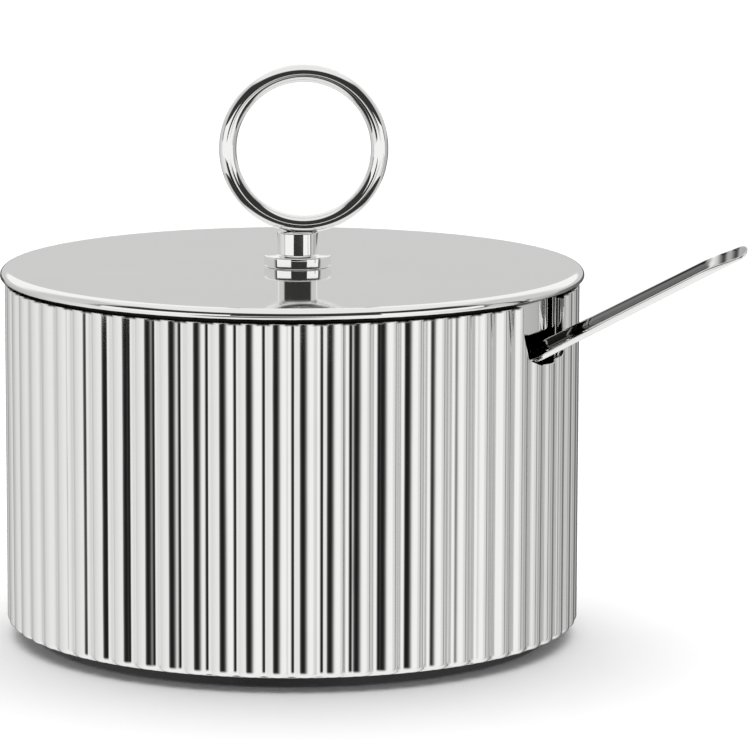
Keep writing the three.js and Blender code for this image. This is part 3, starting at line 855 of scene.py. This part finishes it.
def spoon(bowl, sizes):
    """The spoon as one skin round its centre line. A section is a flat bar with rounded edges; its width
    follows a rounded tip, the tapering handle, the shank and the scoop's ellipse. The handle's underside is
    straight and its top face falls to the tip. The scoop's sheet sinks as a parabola across, the handle's
    channel is a parabolic trough, and grooves cross the handle between the channel and the tip. The
    handle's sections are turned about the centre line, and the turn is lost in the bend below it. A point
    attribute paints shade into the colour of the channel, more so towards its lower side, and of the face
    by the tip and its grooves."""
    points, lengths, (handle_end, shank_start, shank_end) = spoon_line(bowl, sizes)
    total = lengths[-1]
    tip_rows = sizes.tip_round * (1 - np.cos(np.linspace(0, math.pi / 2, 26)))
    end_rows = total - 2 * MM * (1 - np.cos(np.linspace(math.pi / 2, 0, 18)))
    s = np.concatenate([tip_rows, np.linspace(tip_rows[-1], end_rows[0], 400)[1:-1], end_rows])
    x, z = np.interp(s, lengths, points[:, 0]), np.interp(s, lengths, points[:, 1])
    step = np.gradient(points, axis=0)
    kernel = np.ones(9) / 9
    padded = np.pad(step, ((4, 4), (0, 0)), "edge")
    step = np.stack([np.convolve(padded[:, k], kernel, "valid") for k in (0, 1)], axis=1)
    step /= np.linalg.norm(step, axis=1, keepdims=True)
    direction = np.stack([np.interp(s, lengths, step[:, k]) for k in (0, 1)], axis=1)
    direction /= np.linalg.norm(direction, axis=1, keepdims=True)
    up_x, up_z = direction[:, 1:], -direction[:, :1]

    in_tip = np.sqrt(1 - np.clip(1 - s / sizes.tip_round, 0, 1) ** 2)
    in_shank = smooth_step(s, handle_end, shank_start)
    taper = np.clip(s / handle_end, 0, 1)
    handle_width = sizes.tip_width + (sizes.handle_width - sizes.tip_width) * taper
    bar = (handle_width + (sizes.shank_width - handle_width) * in_shank) / 2 * in_tip
    scoop_middle = (shank_end + total) / 2
    in_scoop = np.clip((s - scoop_middle) / ((total - shank_end) / 2), -1, 1)
    bulge = np.sqrt(1 - in_scoop**2)
    scoop = sizes.scoop_width / 2 * bulge
    join = 1.2 * MM
    both = np.maximum(bar, scoop) + 0.3 * join * np.exp(-(((bar - scoop) / join) ** 2))
    half = np.where(s > scoop_middle, scoop, np.where(s < shank_start, bar, both))
    full = sizes.handle_thickness + (sizes.shank_thickness - sizes.handle_thickness) * in_shank
    thick = full + (sizes.tip_thickness - full) * (1 - smooth_step(s, 0, sizes.tip_slope))

    side = np.sin(np.linspace(-math.pi / 2, math.pi / 2, 57))
    u = np.concatenate([side[:-1], side[::-1][:-1]])[None]
    face = np.concatenate([np.ones(56), -np.ones(56)])[None]
    edge_round = np.clip(1 - np.abs(u) ** 7, 0, 1) ** (1 / 3)
    end_round = np.minimum(in_tip, np.where(s > scoop_middle, np.sqrt(bulge), 1)) ** 0.5
    sink = -sizes.scoop_depth * (bulge[:, None] ** 2) * (1 - u**2)

    in_channel = smooth_step(s, sizes.channel_start, sizes.channel_start + sizes.handle_width / 2)
    trough = np.clip(1 - (u / sizes.channel_share) ** 2, 0, 1)
    channel = sizes.channel_depth * (in_channel * (1 - in_shank))[:, None] * trough
    wave = 0.5 + 0.5 * np.cos(TAU * (s - sizes.groove_start) / sizes.groove_pitch)
    grooved = np.abs(s - sizes.groove_start - sizes.groove_pitch / 2) < sizes.groove_pitch
    groove = sizes.groove_depth * (wave * grooved)[:, None] * (1 - smooth_step(np.abs(u), 0.6, 0.78))
    middle = (thick - full)[:, None] / 2
    offset = sink + middle + face * thick[:, None] / 2 * edge_round * end_round[:, None]
    offset = offset - np.where(face > 0, channel + groove, 0)

    turn = (sizes.twist * (1 - smooth_step(s, handle_end - sizes.bend / 2, shank_start)))[:, None]
    across = u * half[:, None]
    raised = across * np.sin(turn) + offset * np.cos(turn)
    aside = across * np.cos(turn) - offset * np.sin(turn)
    out = x[:, None] + up_x * raised
    c, d = math.cos(bowl.notch_heading), math.sin(bowl.notch_heading)
    grid = np.stack([out * c - aside * d, out * d + aside * c, z[:, None] + up_z * raised], axis=-1)
    piece = surface("spoon_forged", grid, poles=True)

    # Painted shade: how dark the colour is painted in the channel, more towards its lower side, and on the
    # face by the tip and in its grooves.
    in_trough = (in_channel * (1 - in_shank))[:, None] * smooth_step(trough, 0, 0.12)
    leaning = np.clip(0.9 - 0.3 * u / sizes.channel_share, 0, 1)
    near_tip = 1 - smooth_step(s, sizes.channel_start * 0.8, sizes.channel_start)
    by_tip = (near_tip + wave * grooved)[:, None] / 2
    inside = 1 - smooth_step(np.abs(u), 0.62, 0.9)
    tarnish_and_painted_shade = np.where(face > 0, np.maximum(in_trough * leaning, by_tip * inside), 0)
    note(piece, PAINTED_SHADE_ATTRIBUTE, np.concatenate([tarnish_and_painted_shade[:1, 0], tarnish_and_painted_shade[1:-1].ravel(), tarnish_and_painted_shade[-1:, 0]]))
    return piece


# ------------------------------------------------------------------ the stage
# Brightness of the studio just below eye level, by heading in degrees from -Y towards +X.
SURROUNDINGS = (
    (-180, 0.08), (-156, 0.1), (-153, 0.5), (-120, 0.58), (-108, 0.7), (-60, 0.84), (-42, 0.84),
    (-38.5, 0.5), (-36, 0.22), (-30, 0.05), (-24, 0.018), (-12, 0.012), (-2, 0.05), (8, 0.3), (14, 0.62),
    (20, 0.82), (30, 0.93), (52, 0.93), (60, 0.76), (77, 0.66), (79, 0.1), (81.5, 0.1), (83, 0.6),
    (103, 0.56), (104, 0.12), (106, 0.12), (107, 0.52), (126, 0.46), (130, 0.2), (180, 0.07),
)
FLOOR_REACH = 4.0
REFLECTOR_STEPS = 8
# White reflector cards in front: first and last heading in degrees, lowest and highest edge in metres.
REFLECTORS = ((-74, -22, 0.02, 0.13), (-22, 32, 0.026, 0.052), (32, 74, 0.02, 0.13))


def make_world(scene, studio):
    """Soft surroundings: a light ground far below, uneven panels from there up to eye level, a dark front
    with grey sides and a brighter back above it, and a broad white ceiling."""
    world = bpy.data.worlds.new("studio_surroundings")
    scene.world = world
    world.use_nodes = True
    graph = Graph(world.node_tree)
    background = next(n for n in graph.tree.nodes if n.type == "BACKGROUND")
    direction = graph.node("ShaderNodeTexCoord", {}, {}, "Generated")
    turn, rise = graph.heading_and_rise(direction)
    panels = graph.ramp(turn + 0.5, [((degrees + 180) / 360, grey) for degrees, grey in SURROUNDINGS])
    away = graph.node("ShaderNodeMath", {"operation": "ABSOLUTE"}, {0: turn})
    aside = graph.limit(away, 76 / 360, 90 / 360)
    high = graph.blend(graph.limit(away, 120 / 360, 146 / 360), grey(studio.sides), grey(studio.high_sides))
    back = graph.blend(graph.limit(rise, 0.165, 0.22), grey(studio.sides), high)
    walls = graph.blend(aside, grey(studio.front), back)
    above = graph.blend(graph.limit(rise, 0.7, 0.8), walls, grey(studio.ceiling))
    below = graph.blend(graph.limit(rise, -0.95, -0.3), grey(studio.ground), panels)
    graph.fill(background.inputs["Color"], graph.blend(graph.limit(rise, -0.03, 0.01), below, above))


def make_reflector(number, start, stop, low, high, studio):
    """An upright white card on an arc in front of the bowl. Only polished surfaces show it."""
    heading = np.radians(np.linspace(start, stop, REFLECTOR_STEPS + 1))
    rims = np.concatenate([polar(studio.reflector_radius, heading - math.pi / 2, z) for z in (low, high)])
    first = np.arange(REFLECTOR_STEPS)
    faces = np.stack([first, first + 1, first + len(heading) + 1, first + len(heading)], axis=1)
    mesh = bpy.data.meshes.new(f"reflector_{number}")
    mesh.from_pydata(rims.tolist(), [], faces.tolist())
    paper = Finish(f"reflector_paper_{number}")
    paper.shade(Base_Color=grey(0), Roughness=1.0, Specular_IOR_Level=0.0,
                Emission_Color=grey(studio.reflector), Emission_Strength=1.0)
    mesh.materials.append(paper.material)
    made = add_object(f"reflector_{number}", mesh)
    for rays in ("camera", "diffuse", "shadow", "transmission"):
        setattr(made, f"visible_{rays}", False)


def make_light(studio):
    """A broad soft light overhead that polished surfaces don't show."""
    data = bpy.data.lights.new("soft_light", "AREA")
    data.shape = "DISK"
    data.size = studio.light_size
    data.energy = studio.light
    light = add_object("soft_light", data)
    light.location = (0, studio.light_back, studio.light_height)
    light.visible_glossy = False


def make_camera(scene, studio):
    """A long lens in front of the bowl, looking slightly down."""
    data = bpy.data.cameras.new("studio_camera")
    data.lens = studio.lens
    data.shift_x = studio.shift
    data.clip_start = 0.01
    data.clip_end = 20.0
    camera = add_object("studio_camera", data)
    camera.location = (0, -studio.distance, studio.height)
    camera.rotation_euler = (math.pi / 2 - studio.tilt, 0, 0)
    scene.camera = camera


def make_floor(studio):
    """A plain pale floor, with a faint mottle."""
    mesh = bpy.data.meshes.new("studio_floor")
    corners = [(x * FLOOR_REACH, y * FLOOR_REACH, 0) for x, y in ((-1, -1), (1, -1), (1, 1), (-1, 1))]
    mesh.from_pydata(corners, [], [(0, 1, 2, 3)])
    paper = Finish("floor_paper")
    mottle = paper.noise(paper.space(), 90.0, 4.0)
    tint = paper.blend(mottle, opaque(studio.floor, 0.985), opaque(studio.floor))
    paper.shade(Base_Color=tint, Roughness=0.9, Specular_IOR_Level=0.1)
    mesh.materials.append(paper.material)
    floor = add_object("studio_floor", mesh)
    floor.visible_glossy = False


# ------------------------------------------------------------------ operators
def knob_centre():
    """How far the knob stands to +X of the lid's centre."""
    return (POST_LOW[0] + POST_HIGH[0]) / 2


class SUGARBOWL_OT_sleeve(bpy.types.Operator):
    """Build the reeded outer sleeve"""

    bl_idname = "sugarbowl.sleeve"
    bl_label = "Reeded Sleeve"

    def execute(self, context):
        scene = context.scene
        finish = polished_silver("silver_reeded", scene, (1, 1, 0.16), 230.0, ripple_share=3.0)
        place(outer_sleeve(scene.bowl_sizes), "bowl", "outer_sleeve", finish)
        return {"FINISHED"}


class SUGARBOWL_OT_liner(bpy.types.Operator):
    """Build the plain liner cup"""

    bl_idname = "sugarbowl.liner"
    bl_label = "Liner Cup"

    def execute(self, context):
        scene = context.scene
        finish = polished_silver("silver_liner", scene, (1, 1, 1), 120.0, 2.0)
        place(liner_cup(scene.bowl_sizes), "bowl", "liner_cup", finish)
        return {"FINISHED"}


class SUGARBOWL_OT_base(bpy.types.Operator):
    """Build the base plate and the foot pad"""

    bl_idname = "sugarbowl.base"
    bl_label = "Base and Foot"

    def execute(self, context):
        scene = context.scene
        place(base_plate(scene.bowl_sizes), "bowl", "base_plate", plain_steel(scene))
        place(foot_pad(scene.bowl_sizes), "bowl", "foot_pad", foot_rubber(scene))
        return {"FINISHED"}


class SUGARBOWL_OT_lid(bpy.types.Operator):
    """Build the lid plate and its skirt"""

    bl_idname = "sugarbowl.lid"
    bl_label = "Lid"

    def execute(self, context):
        scene = context.scene
        finish = polished_silver("silver_lid", scene, (1, 1, 1), 30.0, 0.8)
        place(lid_plate(scene.lid_sizes, knob_centre()), "lid", "lid_plate", finish)
        place(lid_skirt(scene.lid_sizes), "lid", "lid_skirt", finish)
        return {"FINISHED"}


class SUGARBOWL_OT_knob(bpy.types.Operator):
    """Build the knob's post and ring, its screw and its washer"""

    bl_idname = "sugarbowl.knob"
    bl_label = "Ring Knob"

    def execute(self, context):
        scene = context.scene
        sizes = scene.lid_sizes
        finish = polished_silver("silver_knob", scene, (1, 1, 1), 160.0, 0.8)
        place(knob_post(sizes, knob_centre()), "lid", "knob_post", finish)
        place(knob_ring(), "lid", "knob_ring", finish)
        steel = plain_steel(scene)
        place(knob_screw(sizes, knob_centre()), "lid", "knob_screw", steel)
        place(screw_washer(sizes, knob_centre()), "lid", "screw_washer", steel)
        return {"FINISHED"}


class SUGARBOWL_OT_spoon(bpy.types.Operator):
    """Build the spoon"""

    bl_idname = "sugarbowl.spoon"
    bl_label = "Spoon"

    def execute(self, context):
        scene = context.scene
        finish = polished_silver("silver_spoon", scene, (1, 1, 1), 200.0)
        place(spoon(scene.bowl_sizes, scene.spoon_sizes), "spoon", "spoon", finish)
        return {"FINISHED"}


class SUGARBOWL_OT_stage(bpy.types.Operator):
    """Set up the floor, the soft light, the reflector cards and the camera"""

    bl_idname = "sugarbowl.stage"
    bl_label = "Studio"

    def execute(self, context):
        scene = context.scene
        studio = scene.bowl_studio
        scene.view_settings.view_transform = "Standard"
        make_world(scene, studio)
        make_floor(studio)
        make_light(studio)
        for number, reflector in enumerate(REFLECTORS):
            make_reflector(number, *reflector, studio)
        make_camera(scene, studio)
        return {"FINISHED"}


class SUGARBOWL_PT_panel(bpy.types.Panel):
    """The steps that build the sugar bowl, in order"""

    bl_idname = "SUGARBOWL_PT_panel"
    bl_label = "Sugar Bowl"
    bl_space_type = "VIEW_3D"
    bl_region_type = "UI"
    bl_category = "Sugar Bowl"

    def draw(self, context):
        for step in BUILD_STEPS:
            self.layout.operator(step.bl_idname)


PROPERTY_GROUPS = {
    "bowl_sizes": BowlSizes,
    "lid_sizes": LidSizes,
    "spoon_sizes": SpoonSizes,
    "bowl_finish": BowlFinish,
    "bowl_studio": Studio,
}
BUILD_STEPS = (
    SUGARBOWL_OT_stage,
    SUGARBOWL_OT_sleeve,
    SUGARBOWL_OT_liner,
    SUGARBOWL_OT_base,
    SUGARBOWL_OT_lid,
    SUGARBOWL_OT_knob,
    SUGARBOWL_OT_spoon,
)
CLASSES = (*PROPERTY_GROUPS.values(), *BUILD_STEPS, SUGARBOWL_PT_panel)


def register():
    for cls in CLASSES:
        bpy.utils.register_class(cls)
    for name, group in PROPERTY_GROUPS.items():
        setattr(bpy.types.Scene, name, PointerProperty(type=group))


def unregister():
    for name in PROPERTY_GROUPS:
        delattr(bpy.types.Scene, name)
    for cls in reversed(CLASSES):
        bpy.utils.unregister_class(cls)


def main():
    """Registers the add-on and builds the stage and every piece."""
    register()
    for step in BUILD_STEPS:
        group, name = step.bl_idname.split(".")
        getattr(getattr(bpy.ops, group), name)()


if __name__ == "__main__":
    main()
